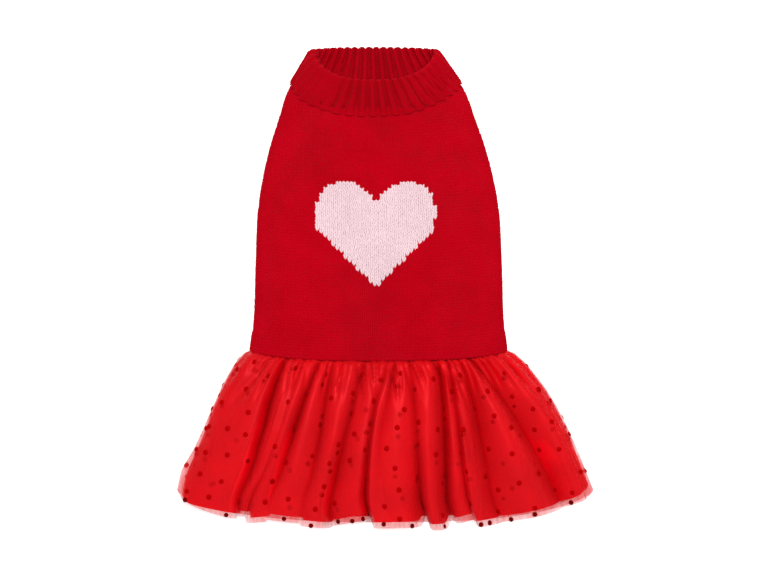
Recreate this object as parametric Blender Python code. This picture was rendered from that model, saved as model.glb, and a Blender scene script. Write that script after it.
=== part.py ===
"""A knitted dog dress with a ribbed roll collar, a knitted-in heart and a gathered skirt of satin and tulle.

It lies on its belly side, laid out on a table: +Y runs towards the collar, +X to the right and +Z up.
The origin is at the bottom centre of its box. Lengths are in metres.

Every layer is a closed wall lofted from rings. A ring goes once round the dress, and all its points come
from a section: how wide and high the dress is there, how far below the collar's rim it lies at the sides,
and how much further down its front and its belly side hang.
"""

import math
from collections import namedtuple

import bmesh
import bpy
from mathutils import Vector

# Lengths along the dress, measured at its sides
COLLAR_LENGTH = 0.0315
BODY_LENGTH = 0.2175
SKIRT_LENGTH = 0.1165
LINING_SHORTER_BY = 0.008

# Flat widths
RIM_WIDTH = 0.107
COLLAR_WIDTH = 0.1436
CHEST_WIDTH = 0.2034
WAIST_WIDTH = 0.215
HEM_WIDTH = 0.3475

# Heights above the table, as it lies
RIM_HEIGHT = 0.054
COLLAR_HEIGHT = 0.041
CHEST_HEIGHT = 0.038
WAIST_HEIGHT = 0.030
SKIRT_HEIGHT = 0.040
HEM_HEIGHT = 0.031

# How much further down the middle of the front and of the belly side hang than the sides
RIM_DIP = 0.0250
COLLAR_DIP = 0.0216
WAIST_DIP = 0.0083
HEM_DIP = 0.0320
RIM_BELLY_DIP = -0.0030
COLLAR_BELLY_DIP = 0.0030
HEM_BELLY_DIP = 0.0280

# How far the dress leans off its middle line
RIM_LEAN = -0.0037
HEM_LEAN = 0.0054

# Walls and the gaps between layers
KNIT_WALL = 0.0025
FLAP_GAP = 0.0005
TULLE_WALL = 0.0010
SATIN_WALL = 0.0010
SKIRT_GAP = 0.0006
TUCK_GAP = 0.0010
SEAM_GAP = 0.0003
TUCK_LENGTH = 0.006

# Ribs of the collar
RIB_COUNT = 40
RIB_DEPTH = 0.0011

# Folds and gathers of the skirt
FOLD_DEPTH = 0.0095
BELLY_FOLD_DEPTH = 0.0045
GATHER_DEPTH = 0.0024
BELLY_FOLD_COUNT = 12
BELLY_FOLD_UNEVENNESS = 0.7
CREST_WIDENING = 0.8

# Heart motif
HEART_WIDTH = 0.0980
HEART_LOBE_RADIUS = 0.0216
HEART_SIDE = 0.0150
HEART_DOWN = 0.1320
HEART_LEAN = -0.0015
HEART_SLOPE = 45
HEART_NOTCH_SLOPE = 38
HEART_ARC_STEPS = 10

# Leg holes in the belly side
LEG_HOLE_WIDTH = 0.046
LEG_HOLE_LENGTH = 0.056
LEG_HOLE_SPREAD = 0.088
LEG_HOLE_DOWN = 0.086
LEG_HOLE_STEPS = 28

# Form of a ring: 2 would be an ellipse, and more is squarer
ROUNDNESS = 2.3
SIDE_LEVEL = 0.30
UNDER_FLATTENING = 1.5
DIP_POWER = 2.6
DIP_SOFTNESS = 0.6
ARC_SAMPLES = 720

Section = namedtuple("Section", "down width height dip belly_dip lean inset")
# inset is how far a layer lies inside the surface that the other sizes give.

BodyRow = namedtuple("BodyRow", "along widen")
# along is a share of the body's length from the collar's lower edge.
# widen is 0 at the collar, 1 at the chest and 2 at the waist.
BODY_ROWS = (
    BodyRow(0.04, 0.14),
    BodyRow(0.10, 0.29),
    BodyRow(0.20, 0.53),
    BodyRow(0.31, 0.74),
    BodyRow(0.44, 0.91),
    BodyRow(0.66, 1.00),
    BodyRow(0.90, 1.45),
    BodyRow(1.00, 2.00),
)

SkirtRow = namedtuple("SkirtRow", "along flare lean puff folds gathers")
# along is a share of the skirt's length and flare a share of the way from the waist's width to the hem's.
# lean, folds and gathers are shares of HEM_LEAN, FOLD_DEPTH and GATHER_DEPTH.
# puff is 0 at the waist's height, 1 at the skirt's and 2 at the hem's.
SKIRT_ROWS = (
    SkirtRow(0.06, 0.135, 0.20, 0.35, 0.12, 1.00),
    SkirtRow(0.20, 0.340, 0.55, 0.90, 0.42, 0.75),
    SkirtRow(0.43, 0.555, 1.00, 1.00, 0.75, 0.25),
    SkirtRow(0.70, 0.780, 1.15, 1.35, 0.95, 0.00),
    SkirtRow(1.00, 1.000, 1.00, 2.00, 1.00, 0.00),
)

CollarRow = namedtuple("CollarRow", "along depth rib")
# The collar's wall is folded at the rim, along 0. Its flap hangs outside, and its inner layer ends at the seam.
# depth is 0 on the flap's face, 1 on its back, 2 on the back of the inner layer and 3 inside the neck.
# rib is how far the ribs show there.
COLLAR_SEAM = 0.87
COLLAR_ROWS = (
    CollarRow(1.00, 0.30, 0.6),
    CollarRow(0.96, 0.00, 1.0),
    CollarRow(0.65, 0.00, 1.0),
    CollarRow(0.33, 0.00, 1.0),
    CollarRow(0.04, 0.05, 1.0),
    CollarRow(-0.07, 1.50, 0.0),
    CollarRow(0.04, 2.95, -1.0),
    CollarRow(0.33, 3.00, -1.0),
    CollarRow(0.65, 3.00, -1.0),
    CollarRow(COLLAR_SEAM, 3.00, -1.0),
    CollarRow(COLLAR_SEAM, 2.00, 0.0),
    CollarRow(0.06, 2.00, 0.0),
    CollarRow(0.06, 1.00, 0.0),
    CollarRow(1.00, 1.00, 0.0),
)
RIM_SCALLOP = 0.03

Valley = namedtuple("Valley", "waist hem depth")
# The valleys between the front's folds, from right to left: where each starts at the waist and ends at the
# hem, as a share of the half width from the middle, and its share of the fold depth.
FRONT_VALLEYS = (
    Valley(0.91, 0.86, 0.45),
    Valley(0.80, 0.70, 0.65),
    Valley(0.69, 0.55, 0.55),
    Valley(0.57, 0.44, 0.80),
    Valley(0.46, 0.31, 1.00),
    Valley(0.28, 0.20, 0.85),
    Valley(0.17, 0.07, 0.45),
    Valley(0.05, -0.06, 1.00),
    Valley(-0.05, -0.16, 0.40),
    Valley(-0.14, -0.26, 0.95),
    Valley(-0.34, -0.39, 0.50),
    Valley(-0.50, -0.54, 0.60),
    Valley(-0.71, -0.67, 1.00),
    Valley(-0.86, -0.83, 0.55),
)
BELLY_VALLEY_MARGIN = 0.36
FOLD_COLUMNS = 4

MATERIALS = {
    # name: (colour, roughness)
    "red_knit": ((0.48, 0.004, 0.010), 0.95),
    "red_rib": ((0.45, 0.004, 0.010), 0.95),
    "pink_knit": ((0.84, 0.60, 0.66), 0.95),
    "red_satin": ((0.62, 0.006, 0.012), 0.45),
    "red_tulle": ((0.66, 0.02, 0.03), 0.60),
}


def blend(start, end, share):
    """The value, section or point that lies this share of the way from start to end."""
    if isinstance(start, Section):
        return Section(*(blend(a, b, share) for a, b in zip(start, end)))
    return start + (end - start) * share


def staged(values, stage):
    """Reads a row of values at a stage: 0 is the first, 1 the second, and so on, straight in between."""
    index = min(int(stage), len(values) - 2)
    return blend(values[index], values[index + 1], stage - index)


# Sections

def collar_section(along):
    """The outermost surface of the collar, at a share of its length from the rim."""
    rim = Section(0.0, RIM_WIDTH, RIM_HEIGHT, RIM_DIP, RIM_BELLY_DIP, RIM_LEAN, 0.0)
    base = Section(
        COLLAR_LENGTH,
        COLLAR_WIDTH,
        COLLAR_HEIGHT,
        COLLAR_DIP,
        COLLAR_BELLY_DIP,
        RIM_LEAN / 2,
        0.0,
    )
    return blend(rim, base, along)


def collar_inset(depth):
    """How far inside the flap's face a collar row lies: two knitted layers with a gap between them."""
    flap_back = KNIT_WALL
    inner_back = KNIT_WALL + FLAP_GAP
    return staged((0.0, flap_back, inner_back, inner_back + KNIT_WALL), depth)


def under_flap(section):
    """The body's own surface where the collar's flap hangs over it."""
    return section._replace(inset=KNIT_WALL + FLAP_GAP)


def body_sections():
    """The body's outer surface from the neck seam to the waist."""
    seam = COLLAR_SEAM + SEAM_GAP / COLLAR_LENGTH
    sections = [under_flap(collar_section(seam)), under_flap(collar_section(1.0))]
    neck_height = COLLAR_HEIGHT - KNIT_WALL
    for row in BODY_ROWS:
        sections.append(
            Section(
                down=COLLAR_LENGTH + row.along * BODY_LENGTH,
                width=staged((COLLAR_WIDTH, CHEST_WIDTH, WAIST_WIDTH), row.widen),
                height=staged((neck_height, CHEST_HEIGHT, WAIST_HEIGHT), row.widen),
                dip=blend(COLLAR_DIP, WAIST_DIP, row.along),
                belly_dip=COLLAR_BELLY_DIP,
                lean=RIM_LEAN / 2 * (1 - row.along),
                inset=0.0,
            )
        )
    return sections


def skirt_sections():
    """The outermost surface of the skirt, from its tuck inside the body to the hem."""
    above, waist = body_sections()[-2:]
    tuck = blend(waist, above, TUCK_LENGTH / (waist.down - above.down))
    sections = [inside_body(tuck), inside_body(waist)]
    for row in SKIRT_ROWS:
        sections.append(
            Section(
                down=waist.down + row.along * SKIRT_LENGTH,
                width=blend(WAIST_WIDTH, HEM_WIDTH, row.flare),
                height=staged((WAIST_HEIGHT, SKIRT_HEIGHT, HEM_HEIGHT), row.puff),
                dip=blend(WAIST_DIP, HEM_DIP, row.along),
                belly_dip=blend(COLLAR_BELLY_DIP, HEM_BELLY_DIP, row.along),
                lean=HEM_LEAN * row.lean,
                inset=0.0,
            )
        )
    return sections


def inside_body(section):
    """The skirt's surface where it is tucked into the knitted body."""
    return section._replace(inset=KNIT_WALL + TUCK_GAP)


# Rings

def signed_power(value, power):
    return math.copysign(abs(value) ** power, value)


def ring_point(section, turn, inset=0.0):
    """A point of a section's ring, this far further in than its outer surface.

    turn is 0 at the right side, a quarter turn at the middle of the front and half a turn at the left side.
    The belly side is flattened where it rests.
    """
    inset += section.inset
    across = signed_power(math.cos(turn), 2 / ROUNDNESS)
    upright = signed_power(math.sin(turn), 2 / ROUNDNESS)
    side = SIDE_LEVEL * section.height
    hang = (1 - abs(across) ** DIP_POWER) ** DIP_SOFTNESS
    if upright >= 0:
        z = side + upright * (section.height - side - inset)
        down = section.down + section.dip * hang
    else:
        z = max(inset, side + upright * (UNDER_FLATTENING * side - inset))
        down = section.down + section.belly_dip * hang
    return Vector((section.lean + across * (section.width / 2 - inset), -down, z))


def inward(section, turn):
    """The direction from a ring's surface towards the inside of the dress."""
    x = math.cos(turn) / section.width
    z = math.sin(turn) / section.height
    return -Vector((x, 0, z)).normalized()


def even_turns(section, count):
    """The turns of points spaced evenly along a section's ring."""
    step = 2 * math.pi / ARC_SAMPLES
    points = [ring_point(section, i * step) for i in range(ARC_SAMPLES + 1)]
    travelled = [0.0]
    for previous, point in zip(points, points[1:]):
        travelled.append(travelled[-1] + (point - previous).length)
    turns = []
    index = 0
    for number in range(count):
        wanted = travelled[-1] * number / count
        while travelled[index + 1] < wanted:
            index += 1
        share = (wanted - travelled[index]) / (travelled[index + 1] - travelled[index])
        turns.append((index + share) * step)
    return turns


# Meshes

def mean_y(ring):
    return sum(point.y for point in ring) / len(ring)


def closed_wall(name, rings, material):
    """An object whose surface runs over the rings in order and from the last back to the first.

    Each quad is split from its upper corner to the lower one of the next column, so that the layers of one
    wall, and walls that lie on each other, are folded the same way.
    """
    mesh = bmesh.new()
    verts = [[mesh.verts.new(point) for point in ring] for ring in rings]
    for number, ring in enumerate(rings):
        following = (number + 1) % len(rings)
        downwards = mean_y(ring) > mean_y(rings[following])
        upper, lower = (number, following) if downwards else (following, number)
        for column in range(len(ring)):
            beside = (column + 1) % len(ring)
            corner, opposite = verts[upper][column], verts[lower][beside]
            mesh.faces.new((corner, verts[lower][column], opposite))
            mesh.faces.new((corner, opposite, verts[upper][beside]))
    bmesh.ops.recalc_face_normals(mesh, faces=mesh.faces)
    return add_object(name, mesh, material)


def prism(name, outline, bottom, top):
    """A hidden cutter: an upright prism on an outline of (x, y) points."""
    mesh = bmesh.new()
    base = mesh.faces.new([mesh.verts.new((x, y, bottom)) for x, y in outline])
    raised = bmesh.ops.extrude_face_region(mesh, geom=[base])["geom"]
    moved = [item for item in raised if isinstance(item, bmesh.types.BMVert)]
    bmesh.ops.translate(mesh, verts=moved, vec=(0, 0, top - bottom))
    bmesh.ops.recalc_face_normals(mesh, faces=mesh.faces)
    cutter = add_object(name, mesh)
    cutter.hide_render = True
    cutter.display_type = "WIRE"
    return cutter


def add_object(name, mesh, material=None):
    data = bpy.data.meshes.new(name)
    mesh.to_mesh(data)
    mesh.free()
    if material:
        data.materials.append(bpy.data.materials[material])
        data.shade_smooth()
        data.set_sharp_from_angle(angle=math.radians(50))
    obj = bpy.data.objects.new(name, data)
    bpy.context.scene.collection.objects.link(obj)
    return obj


def cut(obj, cutter, operation="DIFFERENCE"):
    modifier = obj.modifiers.new(f"{operation.lower()}_{cutter.name}", "BOOLEAN")
    modifier.operation = operation
    modifier.solver = "EXACT"
    modifier.object = cutter


def make_materials():
    for name, (colour, roughness) in MATERIALS.items():
        material = bpy.data.materials.new(name)
        material.use_nodes = True
        shader = material.node_tree.nodes["Principled BSDF"]
        shader.inputs["Base Color"].default_value = (*colour, 1.0)
        shader.inputs["Roughness"].default_value = roughness
        shader.inputs["Metallic"].default_value = 0.0


# Collar

def rib_turns():
    """The turns of the collar's rib crests and the grooves between them."""
    return even_turns(collar_section(COLLAR_SEAM), 2 * RIB_COUNT)


def make_collar():
    """The turned-down turtleneck, one knitted wall folded at the rim, with ribs on its two visible faces."""
    rings = []
    for row in COLLAR_ROWS:
        ring = []
        for column, turn in enumerate(rib_turns()):
            groove = column % 2
            inset = collar_inset(row.depth) + row.rib * groove * RIB_DEPTH
            at_rim = row.along < 0
            along = row.along + at_rim * groove * RIM_SCALLOP
            ring.append(ring_point(collar_section(along), turn, inset))
        rings.append(ring)
    return closed_wall("collar", rings, "red_rib")


# Body and heart

def body_rings():
    sections = body_sections()
    columns = [rib_turns()] * 2
    columns += [even_turns(section, 2 * RIB_COUNT) for section in sections[2:]]
    outer = [
        [ring_point(section, turn) for turn in turns]
        for section, turns in zip(sections, columns)
    ]
    inner = [
        [ring_point(section, turn, KNIT_WALL) for turn in turns]
        for section, turns in zip(sections, columns)
    ]
    return outer + inner[::-1]


def heart_outline(shrink=0.0):
    """The heart seen from above: two round lobes, straight sides and edges that slope down to the tip.

    shrink moves the whole outline inwards.
    """
    radius = HEART_LOBE_RADIUS - shrink
    centre_x = HEART_WIDTH / 2 - HEART_LOBE_RADIUS
    centre_y = -HEART_DOWN
    slope = math.radians(HEART_SLOPE)
    notch_slope = math.radians(HEART_NOTCH_SLOPE)
    corner = (centre_x + radius, centre_y - HEART_SIDE + shrink * math.tan(slope / 2))
    tip = (0.0, corner[1] - corner[0] * math.tan(slope))
    right = [tip, corner]
    for step in range(HEART_ARC_STEPS + 1):
        angle = blend(0, math.pi / 2 + notch_slope, step / HEART_ARC_STEPS)
        right.append((centre_x + radius * math.cos(angle), centre_y + radius * math.sin(angle)))
    notch = (0.0, right[-1][1] - right[-1][0] * math.tan(notch_slope))
    left = [(-x, y) for x, y in reversed(right[1:])]
    return [(x + HEART_LEAN, y) for x, y in right + [notch] + left]


def leg_hole_outline(side):
    points = []
    for step in range(LEG_HOLE_STEPS):
        angle = 2 * math.pi * step / LEG_HOLE_STEPS
        x = side * LEG_HOLE_SPREAD / 2 + LEG_HOLE_WIDTH / 2 * math.cos(angle)
        y = -(COLLAR_LENGTH + LEG_HOLE_DOWN) + LEG_HOLE_LENGTH / 2 * math.sin(angle)
        points.append((x, y))
    return points


def make_body():
    """The knitted tube, with the heart knitted into its front and two leg holes in its belly side."""
    body = closed_wall("knit_body", body_rings(), "red_knit")
    heart = closed_wall("heart", body_rings(), "pink_knit")
    middle = CHEST_HEIGHT / 2
    above = 2 * max(CHEST_HEIGHT, COLLAR_HEIGHT)
    cut(body, prism("heart_cutter", heart_outline(), middle, above))
    cut(heart, prism("heart_shape", heart_outline(shrink=SEAM_GAP), middle, above), "INTERSECT")
    for name, side in (("left", -1), ("right", 1)):
        hole = leg_hole_outline(side)
        cut(body, prism(f"leg_hole_cutter_{name}", hole, -KNIT_WALL, 2 * KNIT_WALL))


# Skirt

def side_turn(lateral):
    """The turn of the front's point at a share of the half width from the middle."""
    return math.acos(signed_power(lateral, ROUNDNESS / 2))


def valley_turns(along):
    """(turn, depth) of every valley at a share of the skirt's length, once round the dress."""
    valleys = []
    for valley in FRONT_VALLEYS:
        turn = blend(side_turn(valley.waist), side_turn(valley.hem), along)
        valleys.append((turn, valley.depth * FOLD_DEPTH))
    span = math.pi - 2 * BELLY_VALLEY_MARGIN
    for number in range(BELLY_FOLD_COUNT):
        turn = math.pi + BELLY_VALLEY_MARGIN + span * number / (BELLY_FOLD_COUNT - 1)
        uneven = 1.0 if number % 2 else BELLY_FOLD_UNEVENNESS
        valleys.append((turn, uneven * BELLY_FOLD_DEPTH))
    return valleys


def skirt_ring(section, row, inset):
    """A ring of the skirt, with four points to each fold: its valley, its crest and a flank on either side."""
    valleys = valley_turns(row.along)
    first_turn, first_depth = valleys[0]
    valleys.append((first_turn + 2 * math.pi, first_depth))
    ring = []
    for (start, start_depth), (end, end_depth) in zip(valleys, valleys[1:]):
        for column in range(FOLD_COLUMNS):
            share = column / FOLD_COLUMNS
            turn = blend(start, end, share)
            depth = start_depth if share < 0.5 else end_depth
            folded = 1 - math.sin(math.pi * share) ** CREST_WIDENING
            gathered = 1 - abs(math.sin(2 * math.pi * share))
            sunk = row.folds * depth * folded + row.gathers * GATHER_DEPTH * gathered
            point = ring_point(section, turn, inset)
            ring.append(point + inward(section, turn) * sunk)
    return ring


def skirt_rings(inset):
    """The rings of one face of a skirt layer, this far inside the skirt's outermost surface."""
    smooth = SkirtRow(0.0, 0.0, 0.0, 0.0, 0.0, 0.0)
    rows = (smooth, smooth, *SKIRT_ROWS)
    return [skirt_ring(section, row, inset) for section, row in zip(skirt_sections(), rows)]


def shortened(rings):
    """The rings with the last one moved up from the hem by the length that the lining is shorter."""
    last = SKIRT_ROWS[-1].along - SKIRT_ROWS[-2].along
    share = LINING_SHORTER_BY / (last * SKIRT_LENGTH)
    hem = [blend(low, high, share) for low, high in zip(rings[-1], rings[-2])]
    return rings[:-1] + [hem]


def make_skirt():
    """The satin lining and the tulle over it, gathered together into the knitted body."""
    tulle = skirt_rings(0.0) + skirt_rings(TULLE_WALL)[::-1]
    closed_wall("tulle_overskirt", tulle, "red_tulle")
    outer = TULLE_WALL + SKIRT_GAP
    lining = shortened(skirt_rings(outer)) + shortened(skirt_rings(outer + SATIN_WALL))[::-1]
    closed_wall("satin_skirt", lining, "red_satin")


def rest_on_origin():
    """Parents everything to one empty, placed so that the box's bottom centre is the origin."""
    points = [
        vert.co
        for obj in bpy.context.scene.objects
        if obj.type == "MESH" and not obj.hide_render
        for vert in obj.data.vertices
    ]
    low = Vector(min(point[axis] for point in points) for axis in range(3))
    high = Vector(max(point[axis] for point in points) for axis in range(3))
    middle = (low + high) / 2
    dress = bpy.data.objects.new("dress", None)
    dress.location = (-middle.x, -middle.y, -low.z)
    for obj in list(bpy.context.scene.objects):
        obj.parent = dress
    bpy.context.scene.collection.objects.link(dress)


def main():
    for obj in list(bpy.data.objects):
        bpy.data.objects.remove(obj)
    make_materials()
    make_collar()
    make_body()
    make_skirt()
    rest_on_origin()


main()
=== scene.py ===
"""The looks of a knitted dog dress with a roll collar, a pink heart and a skirt of satin and dotted tulle.

Every piece here is built on the same sections as the solids, with finer folds, real stitches and
procedural cloth. Lengths are in metres and +Z is up.
"""

import math
from collections import namedtuple

import bpy
import numpy as np
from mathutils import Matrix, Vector


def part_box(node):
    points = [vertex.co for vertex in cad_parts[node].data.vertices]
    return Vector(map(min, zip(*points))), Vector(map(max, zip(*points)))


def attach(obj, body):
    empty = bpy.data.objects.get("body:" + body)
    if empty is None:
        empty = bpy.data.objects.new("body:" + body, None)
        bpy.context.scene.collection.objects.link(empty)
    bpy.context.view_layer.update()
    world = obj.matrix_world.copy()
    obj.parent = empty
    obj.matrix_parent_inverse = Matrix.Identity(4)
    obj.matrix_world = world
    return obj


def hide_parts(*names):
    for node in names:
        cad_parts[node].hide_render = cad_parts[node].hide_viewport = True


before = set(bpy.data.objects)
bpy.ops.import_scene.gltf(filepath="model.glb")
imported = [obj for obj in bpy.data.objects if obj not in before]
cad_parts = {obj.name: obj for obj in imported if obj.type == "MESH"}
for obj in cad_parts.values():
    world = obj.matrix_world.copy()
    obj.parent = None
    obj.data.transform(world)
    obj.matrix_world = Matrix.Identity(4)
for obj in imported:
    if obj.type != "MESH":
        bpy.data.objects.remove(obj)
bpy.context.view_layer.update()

BODY = "root"
SEED = 7

# Lengths along the dress, measured at its sides
COLLAR_LENGTH = 0.0315
BODY_LENGTH = 0.2175
SKIRT_LENGTH = 0.1165
LINING_SHORTER_BY = 0.0042

# Flat widths
RIM_WIDTH = 0.107
COLLAR_WIDTH = 0.1436
CHEST_WIDTH = 0.2048
WAIST_WIDTH = 0.215
HEM_WIDTH = 0.3475

# Heights above the table, as it lies
RIM_HEIGHT = 0.054
COLLAR_HEIGHT = 0.041
CHEST_HEIGHT = 0.038
WAIST_HEIGHT = 0.030
SKIRT_HEIGHT = 0.040
HEM_HEIGHT = 0.031

# How much further down the middle of the front and of the belly side hang than the sides
RIM_DIP = 0.0270
COLLAR_DIP = 0.0216
WAIST_DIP = 0.0083
HEM_DIP = 0.0320
RIM_BELLY_DIP = -0.0022
COLLAR_BELLY_DIP = 0.0030
HEM_BELLY_DIP = 0.0280

# How far the dress leans off its middle line
RIM_LEAN = -0.0037
BODY_LEAN = 0.0009
HEM_LEAN = 0.0054

# Walls and the gaps between layers
KNIT_WALL = 0.0025
KNIT_OUTSIDE = 0.0004
KNIT_INSIDE = 0.0018
FLAP_GAP = 0.0005
TABLE_GAP = 0.0001
UNDER_FLAP = KNIT_WALL + FLAP_GAP
ROLLED_WALL = 2 * KNIT_WALL + FLAP_GAP
TULLE_WALL = 0.0003
SATIN_WALL = 0.0005
TUCK_INSET = 0.0012
TUCK_LENGTH = 0.006

# Form of a ring: 2 would be an ellipse, and more is squarer
ROUNDNESS = 2.3
SIDE_LEVEL = 0.30
UNDER_FLATTENING = 1.5
DIP_POWER = 2.6
DIP_SOFTNESS = 0.6

# Stitches
WALE = 0.0034
COURSE = 0.0025
YARN_RISE = 0.0011
YARN_THICK = 0.00078
LEG_TWIST = -54
UNEVENNESS = (0.05 * WALE, 0.05 * COURSE, 0.00006)
SEAM_MARGIN = 0.25 * WALE
# Shares of the collar's length, since the stitches reach up under the collar's flap
SURFACE_START = 0.6
STITCH_START = 0.80

# Ribs of the collar
RIB_COUNT = 40
RIB_DEPTH = 0.0043
RIB_SHARPNESS = 3.2
RIB_BACK_SHIFT = 0.0024
ROLL_THICKER_BY = 0.0035
RIB_DEEPENING = (0.7, 1.15)
RIB_STEPS = 12
EDGE_RIBBED = 0.45
EDGE_FADE = (0.70, 0.90)
RIM_SCALLOP = 0.0012
RIM_WIDER_BY = 0.0030
FLAP_WIDER_BY = 0.0074
NECK_WIDER_BY = 0.0078
RIB_FAN = 0.32
INNER_FAN = 0.10
SHOULDER_POWER = 6
COLLAR_STITCH_LIFT = -0.0010
# The left shoulder's ribs lie flat between these places, counted in ribs.
FLAT_FROM = (13.8, 16.4)
FLAT_TO = (20.0, 22.0)
FLATTENED_BY = 0.92

# Shares of the collar's length
COLLAR_SEAM = 0.87
RIM_CENTRE = 0.03
RIM_REACH = 0.085
ROLL_END = 0.08
EDGE_START = 0.93
COLLAR_STITCH_START = 0.03
FLAP_STITCH_END = 0.95
INNER_STITCH_END = 0.83

FlapEnd = namedtuple("FlapEnd", "across along")
# How far down the collar's flap reaches across the front, as a share of the collar's length
FLAP_ENDS = (
    FlapEnd(-1.00, 0.82),
    FlapEnd(-0.88, 0.925),
    FlapEnd(-0.70, 0.98),
    FlapEnd(-0.30, 1.09),
    FlapEnd(0.10, 1.08),
    FlapEnd(0.40, 1.02),
    FlapEnd(0.62, 0.92),
    FlapEnd(0.85, 0.85),
    FlapEnd(1.00, 0.82),
)

# Heart motif
HEART_WIDTH = 0.0970
HEART_LOBE_RADIUS = 0.0224
HEART_SIDE = 0.0158
HEART_DOWN = 0.1312
HEART_LEAN = -0.0021
HEART_SLOPE = 45
HEART_NOTCH_SLOPE = 44
HEART_ARC_STEPS = 10
HEART_RISE = 0.0004
HEART_STITCH_SHIFT = 0.2 * COURSE
HEART_UNEVENNESS = (1.5, 1.5, 2.0)
HEART_GROUND_TOP = 0.0009
HEART_GROUND_BOTTOM = 0.0003

# Leg holes in the belly side
LEG_HOLE_WIDTH = 0.046
LEG_HOLE_LENGTH = 0.056
LEG_HOLE_SPREAD = 0.088
LEG_HOLE_DOWN = 0.086
LEG_HOLE_STEPS = 72
LEG_HOLE_CUT_HEIGHTS = (-0.004, 0.006)
LEG_HOLE_SIDES = {"left": -1, "right": 1}
LEG_STITCH_MARGIN = 0.0028

# Chain stitches round the leg holes
CHAIN_STITCHES = 46
CHAIN_STEPS = 6
CHAIN_SIDES = 8
CHAIN_MARGIN = 0.0013
CHAIN_HEIGHT = 0.0014
CHAIN_RADIUS = 0.00115
CHAIN_SWELL = 0.16
CHAIN_FLATNESS = 1.3

# Mesh of the cloth under the stitches
CLOTH_COLUMNS = 160
CLOTH_ROWS = 60
CLOTH_NECK_ROWS = 3
CLOTH_SEAM_GAP = 0.0003
CLOTH_BELOW_WAIST = 0.0008

# Folds and gathers of the skirt
FOLD_DEPTH = 0.0165
FOLD_SWAY = 0.0040
FOLD_ROUNDNESS = 0.85
NOTCH_WIDTH = 0.0024
SLIT_DEPTH = 0.0026
SLIT_WIDTH = 0.0014
SHARP_FOLD = 48
FOLD_MIDDLE = 0.45
BELLY_FOLD_DEPTH = 0.0045
BELLY_FOLD_COUNT = 12
BELLY_VALLEY_MARGIN = 0.36
# Shares of a belly fold's depth at the waist and at the folds' middle, and of every other fold's
BELLY_FOLD_TOP = 0.2
BELLY_FOLD_MIDDLE = 0.7
BELLY_FOLD_LESSER = 0.7
# Columns of the skirts' meshes in half a turn
FRONT_COLUMNS = 380
BELLY_COLUMNS = 170
# Shares of the skirt's length where the satin gets narrower, and where the hem starts to hang unevenly
NARROWING = (0.30, 0.80)
HANGING_FROM = 0.72
TULLE_RIPPLE = 0.0003
TULLE_FINE_RIPPLE = 0.00012
SATIN_INSET = 0.0014
SATIN_FIT = {
    "narrowing": 0.0032,
    "sway": 0.0006,
    "left_drop": 0.0090,
    "end": 1 - LINING_SHORTER_BY / SKIRT_LENGTH,
}

# Short gathers at the waist and long shallow creases. Pairs are the ends of a random range, and places,
# slants, starts, ends and reaches are shares of the half width and of the skirt's length.
PUCKER_PITCH = 0.0062
PUCKER_DEPTH = 0.0036
PUCKER_WIDTH = 0.0017
PUCKER_EDGE = 0.985
PUCKER_STRAY = (-0.35, 0.35)
PUCKER_STRENGTHS = (0.45, 1.0)
PUCKER_WIDTHS = (0.7, 1.25)
PUCKER_SLANT = 0.10
PUCKER_ENDS = (0.12, 0.40)
CREASE_COUNT = 26
CREASE_DEPTH = 0.0011
CREASE_EDGE = 0.95
CREASE_STRENGTHS = (-0.7, 1.0)
CREASE_WIDTHS = (0.0025, 0.0060)
CREASE_SLANT = 0.06
CREASE_STARTS = (0.0, 0.6)
CREASE_REACHES = (0.5, 1.2)

# Dots flocked on the tulle
DOT_RADIUS = 0.0021
DOT_SPACING = 0.0152
DOT_START = 0.05
DOT_END = 0.95
DOT_TRIES = 2500
DOT_SIDES = 14
DOT_UNEVENNESS = (0.92, 1.08)
DOT_STEP = 0.004
DOT_RISE = 0.00035
DOT_INSET = -0.0001
# A dot's rings, as shares of its radius and of its rise
DOT_RINGS = ((0.7, 0.92), (1.0, 0.25), (1.0, -0.6))
HEM_DOT_ALONG = 0.985
HEM_DOT_STRAY = (-0.012, 0.008)
# Where dots lie in the band of tulle below the satin, across from the middle line
HEM_DOTS = (
    -0.1610, -0.1266, -0.0784, -0.0560, -0.0336, -0.0220, -0.0129, 0.0054,
    0.0278, 0.0552, 0.0851, 0.0925, 0.1100, 0.1299, 0.1606,
)

# The dots' twins on the under layer, in fold numbers and shares of the skirt's length
TWIN_SHARE = 0.8
TWIN_SPREAD = (0.10, 0.018)
TWIN_SHIFT = (0.03, 0.045)
TWIN_START = 0.04
TWIN_END = 0.92
TWIN_RISE = 0.0003
TWIN_INSET = -0.0003

# The photograph's frame
PIXEL = 0.00083
CAMERA_LENS = 200
CAMERA_FOCUS_HEIGHT = 0.028
IMAGE_WIDTH = 768
IMAGE_CENTRE = (384, 288)
MIDDLE_LINE_PIXEL = 378.5
RIM_SIDE_PIXEL = 50

# The floor is lit a little from below, like a light table, which keeps shadows as faint as in the photograph
FLOOR_GLOW = 0.42
FLOOR_REACH = 3.0
KEY_PLACE = (0.05, 0.45, 2.1)
KEY_SIZE = 0.8
KEY_POWER = 60
WORLD_STRENGTH = 0.62

Section = namedtuple("Section", "down width height dip belly_dip lean inset")

BodyRow = namedtuple("BodyRow", "along widen")
BODY_ROWS = (
    BodyRow(0.012, 0.075),
    BodyRow(0.04, 0.155),
    BodyRow(0.10, 0.29),
    BodyRow(0.20, 0.53),
    BodyRow(0.31, 0.74),
    BodyRow(0.44, 0.91),
    BodyRow(0.66, 1.00),
    BodyRow(0.90, 1.45),
    BodyRow(1.00, 2.00),
)

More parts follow.
